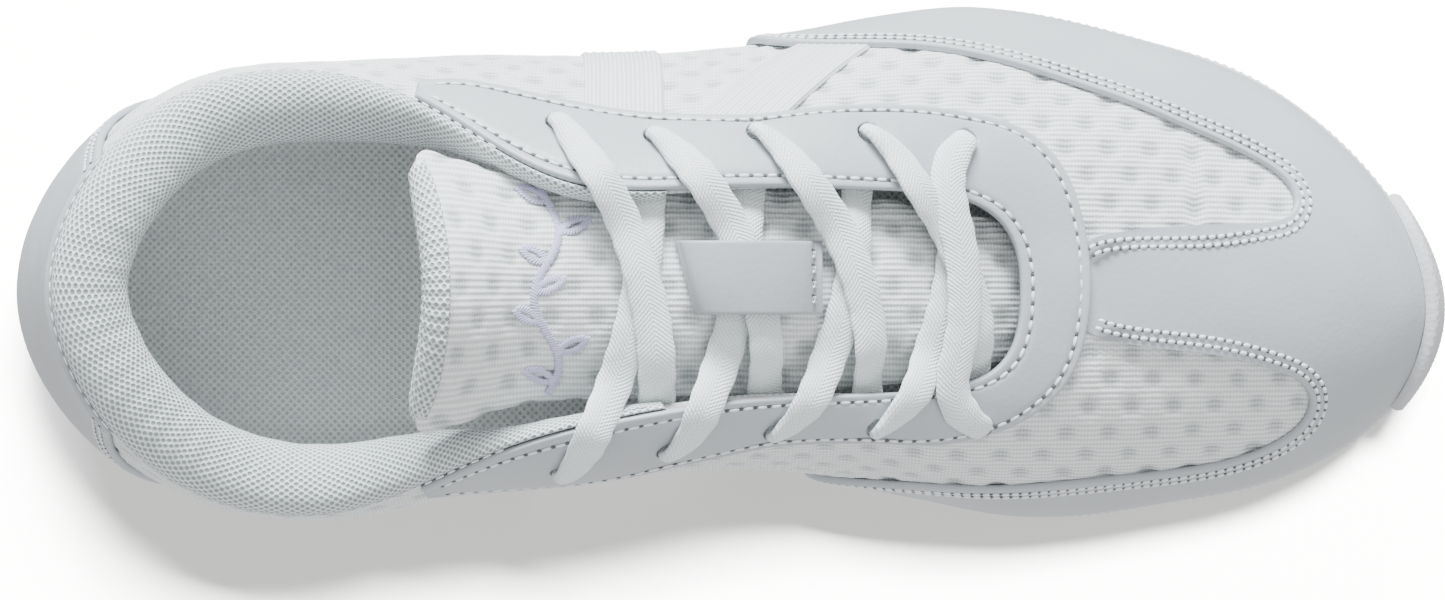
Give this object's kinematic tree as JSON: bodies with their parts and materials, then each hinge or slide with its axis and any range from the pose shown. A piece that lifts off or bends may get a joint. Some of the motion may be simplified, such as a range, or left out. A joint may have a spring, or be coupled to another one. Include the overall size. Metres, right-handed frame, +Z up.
{
  "type": "cheer shoe",
  "caption": "Low white lace-up cheer shoe with mesh upper, smooth leather toe cap and eyestay, padded collar and tongue, and a split rubber sole.",
  "frame": {"origin": "bottom centre of the shoe's bounding box, on the plane that both sole units rest on", "axes": "+X from heel to toe, +Y to the outer (lateral) side of this left shoe, +Z up"},
  "size_m": [0.2674, 0.0986, 0.1014],
  "materials": {
    "sole_rubber": "fine pebbled moulded rubber",
    "midsole_foam": "matte moulded foam",
    "moulded_plate": "satin moulded plastic",
    "board": "pressed fibre board",
    "insole_fabric": "woven fabric with small open dots",
    "knit_mesh": "ribbed warp-knit mesh with dimples",
    "smooth_leather": "smooth coated leather",
    "stiffener": "thin thermoplastic sheet",
    "woven_tape": "ribbed woven tape",
    "lining_fabric": "smooth knitted lining",
    "collar_knit": "open honeycomb knit",
    "padding": "open-cell foam",
    "lace_weave": "flat woven lace",
    "aglet_film": "clear-white wrapped film"
  },
  "bodies": {
    "root": {"arch_plate": "moulded_plate", "collar_cover": "collar_knit", "collar_foam": "padding", "eyestay": "smooth_leather", "eyestay_backing": "stiffener", "forefoot_midsole": "midsole_foam", "forefoot_outsole": "sole_rubber", "heel_counter": "stiffener", "heel_midsole": "midsole_foam", "heel_outsole": "sole_rubber", "heel_patch": "smooth_leather", "insole": "insole_fabric", "insole_board": "board", "lace": "lace_weave", "lace_aglets": "aglet_film", "lining_lateral": "lining_fabric", "lining_medial": "lining_fabric", "mesh_upper_lateral": "knit_mesh", "mesh_upper_medial": "knit_mesh", "support_bands": "woven_tape", "toe_bumper": "sole_rubber", "toe_cap": "smooth_leather", "toe_puff": "stiffener"},
    "tongue": {"lace_keeper": "smooth_leather", "tongue_binding": "collar_knit", "tongue_cover": "knit_mesh", "tongue_foam": "padding", "tongue_lining": "lining_fabric"}
  },
  "joints": [
    {"name": "tongue_sink", "type": "hinge", "parent": "root", "child": "tongue", "pos_m": [0.055, -0.006, 0.054], "axis": [0, -1, 0], "range_deg": [0, 6], "stiffness_Nm_per_rad": 0.5, "deforming": ["lace"]}
  ]
}
